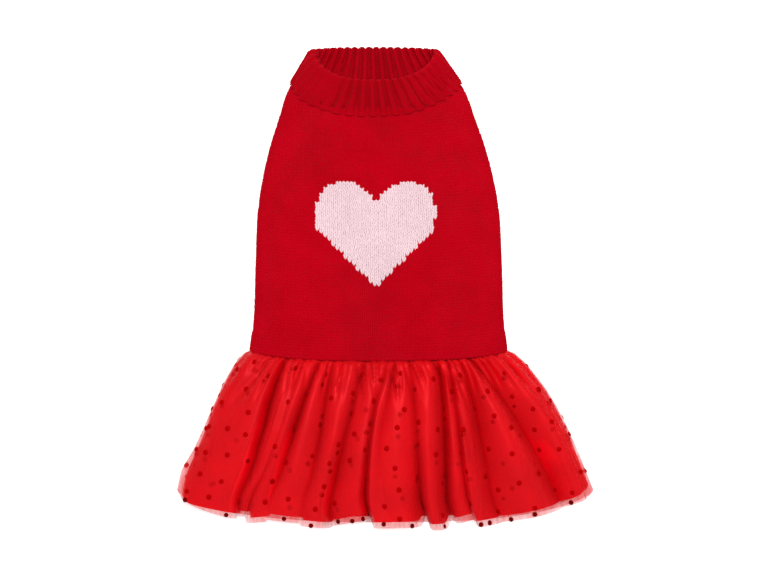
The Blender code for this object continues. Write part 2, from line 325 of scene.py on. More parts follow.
SkirtRow = namedtuple("SkirtRow", "along flare lean puff")
SKIRT_ROWS = (
    SkirtRow(0.015, 0.055, 0.05, 0.30),
    SkirtRow(0.06, 0.150, 0.20, 0.60),
    SkirtRow(0.20, 0.340, 0.55, 0.90),
    SkirtRow(0.43, 0.568, 1.00, 1.00),
    SkirtRow(0.70, 0.788, 1.05, 1.35),
    SkirtRow(0.88, 0.938, 0.75, 1.75),
    SkirtRow(1.00, 1.000, 1.00, 2.00),
)

Crease = namedtuple("Crease", "waist middle hem top mid low crest sunk before after notch slit")
# The creases of the skirt's front, from left to right. waist, middle and hem are shares of the half width
# from the middle line, and top, mid and low are the depths there, as shares of the fold depth. crest is
# where the fold on the crease's right has its ridge, as a share of that fold, and sunk is how far that ridge
# is sunk. before and after are how much further down the hem hangs on the crease's left and right, and notch
# is how much it rises in the crease, in millimetres. slit is 1 where the crease is a sharp slit and 0 where
# it is soft.
FRONT_CREASES = (
    Crease(-0.985, -0.985, -0.985, 0.00, 0.05, 0.05, 0.86, 0.00, 0.0, 1.6, 0.0, 0.0),
    Crease(-0.697, -0.712, -0.718, 0.45, 1.00, 0.50, 0.55, 0.20, 1.2, -1.5, 0.0, 1.0),
    Crease(-0.560, -0.610, -0.672, 0.10, 0.08, 0.38, 0.30, 0.00, -2.3, 2.9, 0.0, 1.0),
    Crease(-0.440, -0.529, -0.570, 0.35, 0.70, 0.04, 0.36, 0.05, -1.0, -3.0, 0.0, 1.0),
    Crease(-0.347, -0.375, -0.410, 0.45, 0.55, 0.16, 0.55, 0.00, -2.5, -0.5, 0.0, 1.0),
    Crease(-0.101, -0.228, -0.265, 0.40, 0.55, 0.75, 0.75, 0.00, 0.6, -1.0, 0.0, 1.0),
    Crease(0.070, -0.088, -0.066, 0.16, 0.30, 0.92, 0.36, 0.00, -8.4, -0.4, 0.0, 1.0),
    Crease(0.124, -0.020, 0.040, 0.35, 0.20, 0.03, 0.35, 0.00, -0.4, -0.6, 0.0, 1.0),
    Crease(0.234, 0.176, 0.200, 0.40, 0.50, 1.00, 0.40, 0.00, -1.1, 1.5, 9.0, 1.0),
    Crease(0.442, 0.347, 0.322, 0.60, 1.10, 1.00, 0.50, 0.45, 1.7, -1.7, 7.0, 1.0),
    Crease(0.516, 0.423, 0.442, 0.32, 0.55, 0.66, 0.20, 0.00, -5.6, 1.2, 0.0, 1.0),
    Crease(0.610, 0.550, 0.560, 0.50, 1.00, 0.80, 0.50, 0.00, 0.3, -0.6, 0.0, 0.3),
    Crease(0.690, 0.795, 0.870, 0.60, 1.00, 0.80, 0.80, 0.00, -0.6, -0.6, 0.0, 0.0),
    Crease(0.900, 0.965, 0.975, 0.15, 0.05, 0.05, 0.50, 0.00, -0.4, -0.4, 0.0, 0.0),
    Crease(0.985, 0.985, 0.985, 0.00, 0.05, 0.05, 0.50, 0.00, 0.3, 0.0, 0.0, 0.0),
)

Pucker = namedtuple("Pucker", "waist slant depth width start end")
# Extra creases of the front: where they start, how far they run sideways along the whole skirt, how deep and
# wide they are in millimetres, and the shares of the skirt's length between which they show.
FRONT_PUCKERS = (
    Pucker(-0.816, -0.30, 3.6, 5.0, 0.0, 0.62),
    Pucker(0.161, -0.20, 2.2, 1.6, 0.0, 0.34),
    Pucker(0.300, -0.10, 1.6, 1.8, 0.0, 0.30),
    Pucker(0.480, -0.02, 1.5, 1.4, 0.1, 0.80),
    Pucker(0.560, 0.05, 1.6, 1.6, 0.0, 0.35),
    Pucker(-0.250, -0.03, 1.8, 2.0, 0.0, 0.36),
    Pucker(-0.560, -0.10, 1.6, 1.8, 0.0, 0.30),
)


# Arithmetic

def signed_power(value, power):
    return np.sign(value) * np.abs(value) ** power


def blend(start, end, share):
    return start + (end - start) * share


def staged(values, stage):
    """Reads a row of values at a stage: 0 is the first, 1 the second, and so on, straight in between."""
    return float(np.interp(stage, range(len(values)), values))


def smooth_step(low, high, value):
    share = np.clip((value - low) / (high - low), 0, 1)
    return share * share * (3 - 2 * share)


def smooth_curve(xs, ys, x):
    """The value at x of a smooth curve through the points (xs, ys)."""
    xs = np.asarray(xs, float)
    ys = np.asarray(ys, float)
    slopes = np.gradient(ys, xs)
    x = np.clip(x, xs[0], xs[-1])
    i = np.clip(np.searchsorted(xs, x, side="right") - 1, 0, len(xs) - 2)
    width = xs[i + 1] - xs[i]
    t = (x - xs[i]) / width
    return (
        ys[i] * (1 + 2 * t) * (1 - t) ** 2
        + ys[i + 1] * t * t * (3 - 2 * t)
        + slopes[i] * width * t * (1 - t) ** 2
        - slopes[i + 1] * width * t * t * (1 - t)
    )


def unit(vectors):
    return vectors / np.linalg.norm(vectors, axis=-1, keepdims=True)


def travelled(points):
    """How far along a line of points each of them lies."""
    return np.concatenate(((0,), np.cumsum(np.linalg.norm(np.diff(points, axis=0), axis=-1))))


# Sections

def across_at(turn):
    """How far across a ring a turn lies, from -1 at the left side to 1 at the right."""
    return signed_power(np.cos(turn), 2 / ROUNDNESS)


def collar_section(along):
    """The outermost surface of the collar, at a share of its length from the rim."""
    along = np.asarray(along, float)
    return Section(
        down=COLLAR_LENGTH * along,
        width=blend(RIM_WIDTH, COLLAR_WIDTH, along),
        height=blend(RIM_HEIGHT, COLLAR_HEIGHT, along),
        dip=blend(RIM_DIP, COLLAR_DIP, along),
        belly_dip=blend(RIM_BELLY_DIP, COLLAR_BELLY_DIP, along),
        lean=blend(RIM_LEAN, RIM_LEAN / 2, along),
        inset=0.0 * along,
    )


def body_rows():
    rows = [collar_section(share) for share in (COLLAR_SEAM, 1.0)]
    rows = [row._replace(width=row.width + NECK_WIDER_BY, inset=UNDER_FLAP) for row in rows]
    neck_height = COLLAR_HEIGHT - KNIT_WALL
    for row in BODY_ROWS:
        rows.append(
            Section(
                down=COLLAR_LENGTH + row.along * BODY_LENGTH,
                width=staged((COLLAR_WIDTH, CHEST_WIDTH, WAIST_WIDTH), row.widen),
                height=staged((neck_height, CHEST_HEIGHT, WAIST_HEIGHT), row.widen),
                dip=blend(COLLAR_DIP, WAIST_DIP, row.along),
                belly_dip=COLLAR_BELLY_DIP,
                lean=RIM_LEAN / 2 * (1 - row.along) + 4 * BODY_LEAN * row.along * (1 - row.along),
                inset=0.0,
            )
        )
    return rows


def skirt_rows():
    above, waist = body_rows()[-2:]
    share = TUCK_LENGTH / (waist.down - above.down)
    tuck = Section(*(blend(a, b, share) for a, b in zip(waist, above)))
    rows = [row._replace(inset=TUCK_INSET) for row in (tuck, waist)]
    for row in SKIRT_ROWS:
        rows.append(
            Section(
                down=waist.down + row.along * SKIRT_LENGTH,
                width=blend(WAIST_WIDTH, HEM_WIDTH, row.flare),
                height=staged((WAIST_HEIGHT, SKIRT_HEIGHT, HEM_HEIGHT), row.puff),
                dip=blend(WAIST_DIP, HEM_DIP, row.along),
                belly_dip=blend(COLLAR_BELLY_DIP, HEM_BELLY_DIP, row.along),
                lean=HEM_LEAN * row.lean,
                inset=0.0,
            )
        )
    return rows


def section_at(rows, down):
    """The smooth section at a distance down the dress's side."""
    downs = [float(row.down) for row in rows]
    columns = np.array([row[1:] for row in rows], float).T
    return Section(np.asarray(down, float), *(smooth_curve(downs, column, down) for column in columns))


BODY_TABLE = body_rows()
SKIRT_TABLE = skirt_rows()
WAIST_DOWN = COLLAR_LENGTH + BODY_LENGTH


def row_shift():
    """From the dress's own middle line and collar rim to the frame's origin."""
    low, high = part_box("knit_body")
    return np.array(((low[0] + high[0]) / 2, low[1] + WAIST_DOWN + WAIST_DIP, 0.0))


SHIFT = row_shift()


def hang_of(across):
    return np.clip(1 - np.abs(across) ** DIP_POWER, 0, 1) ** DIP_SOFTNESS


def ring_point(section, turn, inset=0.0):
    """Points of a section's ring, this far further in than its outer surface.

    turn is 0 at the right side, a quarter turn at the middle of the front and half a turn at the left side.
    """
    inset = inset + section.inset
    across = across_at(turn)
    upright = signed_power(np.sin(turn), 2 / ROUNDNESS)
    side = SIDE_LEVEL * section.height
    hang = hang_of(across)
    front = upright >= 0
    top = side + upright * (section.height - side - inset)
    under = np.maximum(inset, side + upright * (UNDER_FLATTENING * side - inset))
    z = np.where(front, top, under)
    dip = np.where(front, section.dip, section.belly_dip)
    x = section.lean + across * (section.width / 2 - inset)
    y = -(section.down + dip * hang)
    x, y, z = np.broadcast_arrays(x, y, np.maximum(z, TABLE_GAP))
    return np.stack((x, y, z), axis=-1) + SHIFT


# Meshes

def mesh_object(name, verts, faces, material, smooth=True):
    """A mesh piece from an array of points and a list of face index arrays."""
    data = bpy.data.meshes.new(name)
    verts = np.asarray(verts, np.float32)
    loops = np.concatenate([np.asarray(block, np.int32).ravel() for block in faces])
    sizes = np.concatenate([np.full(len(block), np.asarray(block).shape[1], np.int32) for block in faces])
    starts = np.concatenate(((0,), np.cumsum(sizes)[:-1])).astype(np.int32)
    data.vertices.add(len(verts))
    data.vertices.foreach_set("co", verts.ravel())
    data.loops.add(len(loops))
    data.loops.foreach_set("vertex_index", loops)
    data.polygons.add(len(sizes))
    data.polygons.foreach_set("loop_start", starts)
    data.update(calc_edges=True)
    data.validate()
    data.materials.append(material)
    if smooth:
        data.shade_smooth()
    obj = bpy.data.objects.new(name, data)
    bpy.context.scene.collection.objects.link(obj)
    return obj


def grid_faces(rows, columns, close_rows=False):
    """Quads of a grid whose columns close into rings. close_rows joins the last row to the first."""
    i = np.arange(rows if close_rows else rows - 1)[:, None]
    j = np.arange(columns)[None, :]
    below, beside = (i + 1) % rows, (j + 1) % columns
    corners = (i * columns + j, below * columns + j, below * columns + beside, i * columns + beside)
    return np.stack(np.broadcast_arrays(*corners), axis=-1).reshape(-1, 4)


def capped_faces(rings, sides):
    """Triangles and quads of a closed form that has this many rings between its first and last point."""
    side = np.arange(sides)
    beyond = np.roll(side, -1)
    last = 1 + (rings - 1) * sides
    first_cap = np.column_stack((0 * side, 1 + side, 1 + beyond))
    last_cap = np.column_stack((0 * side + last + sides, last + beyond, last + side))
    return np.concatenate((first_cap, last_cap)), 1 + grid_faces(rings, sides)


def repeated(faces, starts):
    """The faces of one form, once for each number that a form's points start at."""
    return (starts[:, None, None] + faces).reshape(-1, faces.shape[1])


def closed_wall(name, outer, inner, material):
    """A closed sheet between an outer and an inner grid of rings, each of shape (rings, columns, 3)."""
    rings = np.concatenate((outer, inner[::-1]))
    faces = grid_faces(len(rings), rings.shape[1], close_rows=True)
    return mesh_object(name, rings.reshape(-1, 3), [faces], material)


# Knitted surfaces: s is the distance across from the middle line, d the distance down the side

class KnitSurface:
    """The front or the belly side of the knitted body, measured in cloth: s across and d down."""

    SAMPLES = 160
    ROWS = 90
    ROUNDS = 4

    def __init__(self, front):
        self.sign = 1 if front else -1
        self.course_dip = WAIST_DIP if front else COLLAR_BELLY_DIP
        self.downs = np.linspace(SURFACE_START * COLLAR_LENGTH, WAIST_DOWN, self.ROWS)
        turns = np.linspace(0, math.pi / 2, self.SAMPLES)
        section = section_at(BODY_TABLE, self.downs[:, None])
        points = ring_point(section, self.sign * turns[None, :])
        steps = np.linalg.norm(np.diff(points[..., (0, 2)], axis=1), axis=-1)
        lengths = np.concatenate((np.zeros((len(self.downs), 1)), np.cumsum(steps, axis=1)), axis=1)
        self.half = lengths[:, -1]
        shares = np.linspace(0, 1, self.SAMPLES)
        self.turns = np.stack([np.interp(shares, row / row[-1], turns) for row in lengths])

    def half_length(self, d):
        """How far the cloth reaches from its middle line to the side seam."""
        return np.interp(d, self.downs, self.half)

    def turn(self, s, d):
        share = np.clip(1 - np.abs(s) / self.half_length(d), 0, 1) * (self.SAMPLES - 1)
        row = np.clip((d - self.downs[0]) / (self.downs[1] - self.downs[0]), 0, len(self.downs) - 1.001)
        i, j = row.astype(int), np.minimum(share.astype(int), self.SAMPLES - 2)
        u, v = row - i, share - j
        table = self.turns
        low = blend(table[i, j], table[i, j + 1], v)
        high = blend(table[i + 1, j], table[i + 1, j + 1], v)
        turn = blend(low, high, u)
        return self.sign * np.where(s >= 0, turn, math.pi - turn)

    def __call__(self, s, d, lift=0.0):
        """The point at s and d, lifted this far off the wall's outer surface."""
        turn = self.turn(s, d)
        hang = hang_of(across_at(turn))
        down = d
        for _ in range(self.ROUNDS):
            section = section_at(BODY_TABLE, down)
            dip = section.dip if self.sign > 0 else section.belly_dip
            down = d + (self.course_dip - dip) * hang
        return ring_point(section_at(BODY_TABLE, down), turn, YARN_RISE - lift), down

    def stitches(self):
        """(s, d) of every stitch, row by row, down to the waist and up under the collar's flap."""
        places = []
        for number in range(int(WAIST_DOWN / COURSE)):
            d = WAIST_DOWN - (number + 0.5) * COURSE
            count = int((self.half_length(d) - SEAM_MARGIN) / WALE)
            s = np.arange(-count, count + 1) * WALE
            places.append(np.stack((s, np.full(len(s), d)), axis=-1))
        places = np.concatenate(places)
        down = self(places[:, 0], places[:, 1])[1]
        return places[(down > STITCH_START * COLLAR_LENGTH) & (down < WAIST_DOWN)]


Leg = namedtuple("Leg", "across below rise radius")
# One leg of a stitch's V, from its tip at the bottom to its end at the top. across is in wales, below in
# courses, rise and radius in yarn thicknesses.
LEG_RINGS = (
    Leg(0.02, 1.20, -0.50, 0.00),
    Leg(0.16, 0.50, 0.55, 1.22),
    Leg(0.33, -0.46, 0.60, 1.22),
    Leg(0.44, -1.05, -0.40, 0.00),
)
HEART_LEG_RINGS = (
    Leg(0.05, 1.60, 0.30, 0.00),
    Leg(0.19, 0.50, 0.60, 1.08),
    Leg(0.33, -0.34, 0.60, 1.20),
    Leg(0.44, -0.98, -0.50, 0.00),
)
LEG_SIDES = 5


def stitch_legs(surface, places, jitter, rings=LEG_RINGS, lift=0.0):
    """(points, faces) of two plump yarn legs for every stitch place on a knitted surface."""
    angles = math.radians(LEG_TWIST) + 2 * math.pi * np.arange(LEG_SIDES) / LEG_SIDES
    offsets = []
    for ring in rings:
        for angle in (angles if ring.radius else angles[:1]):
            wide = ring.radius * YARN_THICK * math.cos(angle)
            rise = YARN_THICK * (ring.rise + ring.radius * math.sin(angle))
            offsets.append((ring.across * WALE + wide, ring.below * COURSE, rise))
    offsets = np.array(offsets)
    points, blocks = [], ([], [])
    for number, side in enumerate((-1, 1)):
        s = places[:, :1] + side * offsets[None, :, 0] + jitter[:, :1]
        d = places[:, 1:2] + offsets[None, :, 1] + jitter[:, 1:2]
        rise = np.broadcast_to(offsets[None, :, 2] + lift + jitter[:, 2:3], s.shape)
        points.append(surface(s.ravel(), d.ravel(), rise.ravel())[0])
        starts = (number * len(places) + np.arange(len(places))) * len(offsets)
        for block, faces in zip(blocks, capped_faces(2, LEG_SIDES)):
            block.append(repeated(faces[:, ::side], starts))
    return np.concatenate(points), [np.concatenate(block) for block in blocks]


def uneven(count, rng):
    """Small shifts of each stitch across, down and up, as hand and machine knitting has."""
    return rng.normal(0, 1, (count, 3)) * UNEVENNESS


# Heart

def heart_outline():
    """The heart seen from above: two round lobes, straight sides and edges that slope down to the tip."""
    centre_x = HEART_WIDTH / 2 - HEART_LOBE_RADIUS
    slope = math.radians(HEART_SLOPE)
    notch_slope = math.radians(HEART_NOTCH_SLOPE)
    corner = (HEART_WIDTH / 2, -HEART_DOWN - HEART_SIDE)
    right = [(0.0, corner[1] - corner[0] * math.tan(slope)), corner]
    for step in range(HEART_ARC_STEPS + 1):
        angle = (math.pi / 2 + notch_slope) * step / HEART_ARC_STEPS
        x = centre_x + HEART_LOBE_RADIUS * math.cos(angle)
        right.append((x, -HEART_DOWN + HEART_LOBE_RADIUS * math.sin(angle)))
    notch = (0.0, right[-1][1] - right[-1][0] * math.tan(notch_slope))
    left = [(-x, y) for x, y in reversed(right[1:])]
    return np.array(right + [notch] + left) + (HEART_LEAN, 0.0) + SHIFT[:2]


def inside(outline, points):
    """Which points lie inside a closed outline."""
    x, y = points[:, 0], points[:, 1]
    result = np.zeros(len(points), bool)
    for (ax, ay), (bx, by) in zip(outline, np.roll(outline, -1, axis=0)):
        crosses = (ay > y) != (by > y)
        rise = by - ay if by != ay else 1e-12
        result ^= crosses & (x < ax + (y - ay) * (bx - ax) / rise)
    return result


def leg_hole_ring(side, margin=0.0, steps=LEG_HOLE_STEPS):
    angle = 2 * math.pi * np.arange(steps) / steps
    x = side * LEG_HOLE_SPREAD / 2 + (LEG_HOLE_WIDTH / 2 + margin) * np.cos(angle)
    y = -(COLLAR_LENGTH + LEG_HOLE_DOWN) + (LEG_HOLE_LENGTH / 2 + margin) * np.sin(angle)
    return np.stack((x, y), axis=-1) + SHIFT[:2]


# Body

def make_knit_cloth(material):
    """The closed wall under the stitches, open at the neck and the waist, with both leg holes cut out."""
    top = COLLAR_SEAM * COLLAR_LENGTH + CLOTH_SEAM_GAP
    neck = np.linspace(top, COLLAR_LENGTH, CLOTH_NECK_ROWS, endpoint=False)
    downs = np.concatenate((neck, np.linspace(COLLAR_LENGTH, WAIST_DOWN + CLOTH_BELOW_WAIST, CLOTH_ROWS)))
    turns = np.linspace(0, 2 * math.pi, CLOTH_COLUMNS, endpoint=False)
    section = section_at(BODY_TABLE, downs[:, None])
    outer = ring_point(section, turns, KNIT_OUTSIDE)
    inner = ring_point(section, turns, KNIT_INSIDE)
    cloth = closed_wall("knit_cloth", outer, inner, material)
    for name, side in LEG_HOLE_SIDES.items():
        ring = leg_hole_ring(side)
        count = len(ring)
        points = np.concatenate([np.column_stack((ring, np.full(count, z))) for z in LEG_HOLE_CUT_HEIGHTS])
        caps = [np.arange(count)[None, ::-1], count + np.arange(count)[None, :]]
        faces = [grid_faces(2, count)[:, ::-1], *caps]
        cutter = mesh_object(f"cutter_{name}", points, faces, material, smooth=False)
        modifier = cloth.modifiers.new(f"leg_hole_{name}", "BOOLEAN")
        modifier.operation = "DIFFERENCE"
        modifier.solver = "EXACT"
        modifier.object = cutter
        with bpy.context.temp_override(object=cloth, active_object=cloth):
            bpy.ops.object.modifier_apply(modifier=modifier.name)
        bpy.data.objects.remove(cutter)
    return cloth


def make_stitches(front, materials, rng):
    """The stitches of one side of the body, and on the front those of the heart apart."""
    surface = KnitSurface(front)
    places = surface.stitches()
    spots = surface(places[:, 0], places[:, 1])[0][:, :2]
    if not front:
        for side in LEG_HOLE_SIDES.values():
            outside = ~inside(leg_hole_ring(side, LEG_STITCH_MARGIN), spots)
            places, spots = places[outside], spots[outside]
        points, faces = stitch_legs(surface, places, uneven(len(places), rng))
        return [mesh_object("belly_stitches", points, faces, materials["red_knit"])]
    upper = surface(places[:, 0], places[:, 1] - HEART_STITCH_SHIFT)[0][:, :2]
    pink = inside(heart_outline(), upper)
    points, faces = stitch_legs(surface, places[~pink], uneven(int((~pink).sum()), rng))
    red = mesh_object("front_stitches", points, faces, materials["red_knit"])
    chosen = places[pink]
    jitter = uneven(len(chosen), rng) * HEART_UNEVENNESS
    points, faces = stitch_legs(surface, chosen, jitter, HEART_LEG_RINGS, HEART_RISE)
    ground_points, ground_faces = heart_ground(surface, chosen)
    faces += [block + len(points) for block in ground_faces]
    points = np.concatenate((points, ground_points))
    heart = mesh_object("heart_stitches", points, faces, materials["pink_knit"])
    return [red, heart]


def heart_ground(surface, places):
    """A thin pink slab under the heart's stitches, a cell to a stitch, so that no red shows between them."""
    stitches = {(round(s / WALE), round((WAIST_DOWN - d) / COURSE - 0.5)) for s, d in places}
    cells = {(i, j) for i, j in stitches if (i, j - 1) in stitches}
    corners = sorted({(i + a, j + b) for i, j in cells for a in (0, 1) for b in (0, 1)})
    index = {corner: number for number, corner in enumerate(corners)}
    grid = np.array(corners, float)
    s = (grid[:, 0] - 0.5) * WALE
    d = WAIST_DOWN - grid[:, 1] * COURSE
    top = surface(s, d, HEART_GROUND_TOP)[0]
    bottom = surface(s, d, HEART_GROUND_BOTTOM)[0]
    count = len(corners)
    quads = []
    for i, j in sorted(cells):
        loop = [index[(i, j)], index[(i + 1, j)], index[(i + 1, j + 1)], index[(i, j + 1)]]
        quads.append(loop)
        quads.append([count + k for k in reversed(loop)])
        neighbours = ((i, j - 1), (i + 1, j), (i, j + 1), (i - 1, j))
        for side, neighbour in enumerate(neighbours):
            if neighbour not in cells:
                a, b = loop[side], loop[(side + 1) % 4]
                quads.append([b, a, count + a, count + b])
    return np.concatenate((top, bottom)), [np.array(quads)]


def make_leg_edges(material):
    """A ring of chain stitches round each leg hole."""
    steps = CHAIN_STITCHES * CHAIN_STEPS
    angles = 2 * math.pi * np.arange(CHAIN_SIDES) / CHAIN_SIDES
    swell = CHAIN_SWELL * np.cos(2 * math.pi * np.arange(steps) / CHAIN_STEPS)
    radius = CHAIN_RADIUS * (1 + swell[:, None])
    pieces = []
    for name, side in LEG_HOLE_SIDES.items():
        ring = leg_hole_ring(side, CHAIN_MARGIN, steps)
        ahead = unit(np.roll(ring, -1, axis=0) - np.roll(ring, 1, axis=0))
        outward = np.stack((ahead[:, 1], -ahead[:, 0]), axis=-1)
        reach = radius * CHAIN_FLATNESS * np.cos(angles)
        flat = ring[:, None] + outward[:, None] * reach[..., None]
        points = np.concatenate((flat, (CHAIN_HEIGHT + radius * np.sin(angles))[..., None]), axis=-1)
        faces = [grid_faces(steps, CHAIN_SIDES, close_rows=True)]
        pieces.append(mesh_object(f"leg_hole_edge_{name}", points.reshape(-1, 3), faces, material))
    return pieces


# Collar

def flap_section(along):
    """The collar's outermost surface once its roll has eased out to the sides."""
    section = collar_section(along)
    wider = blend(RIM_WIDER_BY, FLAP_WIDER_BY, np.clip(along, 0, 1))
    return section._replace(width=section.width + wider, height=np.maximum(section.height, COLLAR_HEIGHT))


def flap_end(turn):
    """How far down the collar's flap reaches at a turn, as a share of the collar's length."""
    across = across_at(turn)
    front = smooth_curve(*zip(*FLAP_ENDS), across)
    belly = blend(FLAP_ENDS[0].along, 1.0, hang_of(across))
    return np.where(np.sin(turn) >= 0, front, belly)


def rib_turn(place, along, fan):
    """The turn at a place counted in ribs round the collar. The ribs fan out sideways from the rim."""
    turns = np.linspace(0, 2 * math.pi, 1441)
    lengths = travelled(ring_point(collar_section(COLLAR_SEAM), turns))
    rounds = np.floor(place / RIB_COUNT)
    turn = np.interp(place / RIB_COUNT - rounds, lengths / lengths[-1], turns) + 2 * math.pi * rounds
    return turn - fan * np.clip(along, 0, 1) * np.sin(2 * turn) * np.abs(np.cos(turn))


def rib_groove(place, flap=0.0):
    """0 on a rib's crest and 1 in the groove, shallower at the left shoulder, where the flap lies flat."""
    groove = np.abs(np.sin(math.pi * place)) ** RIB_SHARPNESS
    flattened = smooth_step(*FLAT_FROM, place) * (1 - smooth_step(*FLAT_TO, place)) * flap
    return groove * (1 - FLATTENED_BY * flattened)


# A point of the collar's profile. outer, inner, back and rim are how far it follows the ribs of the flap,
# those of the inside, the two layers' backs and the rim's scallops. flap is 1 where it belongs to the flap.
Profile = namedtuple("Profile", "along inset outer inner back rim flap", defaults=(0, 0, 0, 0, 0))


def collar_path():
    """The collar's closed profile: the flap, the rim, the inside and the backs of both layers between."""
    half = KNIT_WALL / 2
    round_end = half / COLLAR_LENGTH
    path = []
    for a in np.radians(np.linspace(-90, 90, 7)):
        share = 0.5 + 0.5 * math.sin(a)
        along = 1 - round_end + round_end * math.cos(a)
        inset = half - half * math.sin(a)
        path.append(Profile(along, inset, outer=EDGE_RIBBED * share, back=1 - share, flap=1))
    for along in np.linspace(EDGE_START, ROLL_END, 22):
        ribbed = blend(1.0, EDGE_RIBBED, smooth_step(*EDGE_FADE, along))
        path.append(Profile(along, 0.0, outer=ribbed, flap=1))
    for a in np.radians(np.linspace(90, -90, 13)):
        rise, out = math.sin(a), math.cos(a)
        along, inset = RIM_CENTRE - RIM_REACH * out, ROLLED_WALL / 2 * (1 - rise)
        path.append(Profile(along, inset, outer=max(rise, 0), inner=max(-rise, 0), rim=out))
    for along in np.linspace(ROLL_END, COLLAR_SEAM, 16):
        path.append(Profile(along, ROLLED_WALL, inner=1))
    path.append(Profile(COLLAR_SEAM, (ROLLED_WALL + UNDER_FLAP) / 2, inner=0.5, back=0.5))
    for along in np.linspace(COLLAR_SEAM, ROLL_END, 6):
        path.append(Profile(along, UNDER_FLAP, back=1))
    for along in np.linspace(ROLL_END, EDGE_START, 7):
        path.append(Profile(along, KNIT_WALL, back=1, flap=1))
    return path


def collar_point(place, profile, lift=0.0):
    """The collar's surface at a place counted in ribs round it. The inside's ribs lie between the flap's."""
    turn = rib_turn(place, profile.along, blend(INNER_FAN, RIB_FAN, profile.flap))
    left = np.clip(-across_at(turn), 0, 1) ** SHOULDER_POWER
    outer_groove = rib_groove(place)
    inner_groove = rib_groove(place + 0.5)
    deepening = blend(*RIB_DEEPENING, np.clip(profile.along, 0, 1))
    outer = rib_groove(place, profile.outer) * RIB_DEPTH * deepening - lift
    inner = ROLL_THICKER_BY * left - inner_groove * RIB_DEPTH + lift
    back = (outer_groove - inner_groove) * RIB_BACK_SHIFT
    sunk = profile.outer * outer + profile.inner * inner + profile.back * back
    along = profile.along * blend(1.0, flap_end(turn), profile.flap)
    scalloped = along + profile.rim * outer_groove * RIM_SCALLOP / COLLAR_LENGTH
    return ring_point(flap_section(scalloped), turn, profile.inset + sunk)


def make_collar(material):
    path = collar_path()
    place = np.arange(RIB_COUNT * RIB_STEPS) / RIB_STEPS
    points = collar_point(place, Profile(*(np.array(column, float)[:, None] for column in zip(*path))))
    faces = grid_faces(len(path), place.size, close_rows=True)
    return mesh_object("collar_rib", points.reshape(-1, 3), [faces[:, ::-1]], material)


def collar_face(flap):
    """A surface for stitch legs on the collar: s across in metres at a rib's pitch of two wales, d down."""
    profile = Profile(0.0, 0.0, outer=1, flap=1) if flap else Profile(0.0, ROLLED_WALL, inner=1)
    first = 0 if flap else 0.5

    def surface(s, d, lift):
        return collar_point(s / (2 * WALE) + first, profile._replace(along=d / COLLAR_LENGTH), lift), None

    return surface


def make_collar_stitches(material, rng):
    points, blocks = [], ([], [])
    total = 0
    for flap in (True, False):
        end = FLAP_STITCH_END if flap else INNER_STITCH_END
        downs = np.arange(COLLAR_STITCH_START * COLLAR_LENGTH, end * COLLAR_LENGTH, COURSE)
        places = np.array([(rib * 2 * WALE, d) for d in downs for rib in range(RIB_COUNT)])
        jitter = uneven(len(places), rng)
        spots, faces = stitch_legs(collar_face(flap), places, jitter, lift=COLLAR_STITCH_LIFT)
        for block, added in zip(blocks, faces):
            block.append(total + (added if flap else added[:, ::-1]))
        points.append(spots)
        total += len(spots)
    faces = [np.concatenate(block) for block in blocks]
    return mesh_object("collar_stitches", np.concatenate(points), faces, material)


# Skirt

def side_turn(lateral):
    return math.acos(float(signed_power(lateral, ROUNDNESS / 2)))


def through(first, middle, last, along):
    """The smooth curve through three values at the waist, the folds' middle and the hem."""
    m = FOLD_MIDDLE
    bend = (middle - blend(first, last, m)) / (m * (1 - m))
    return blend(first, last, along) + bend * along * (1 - along)


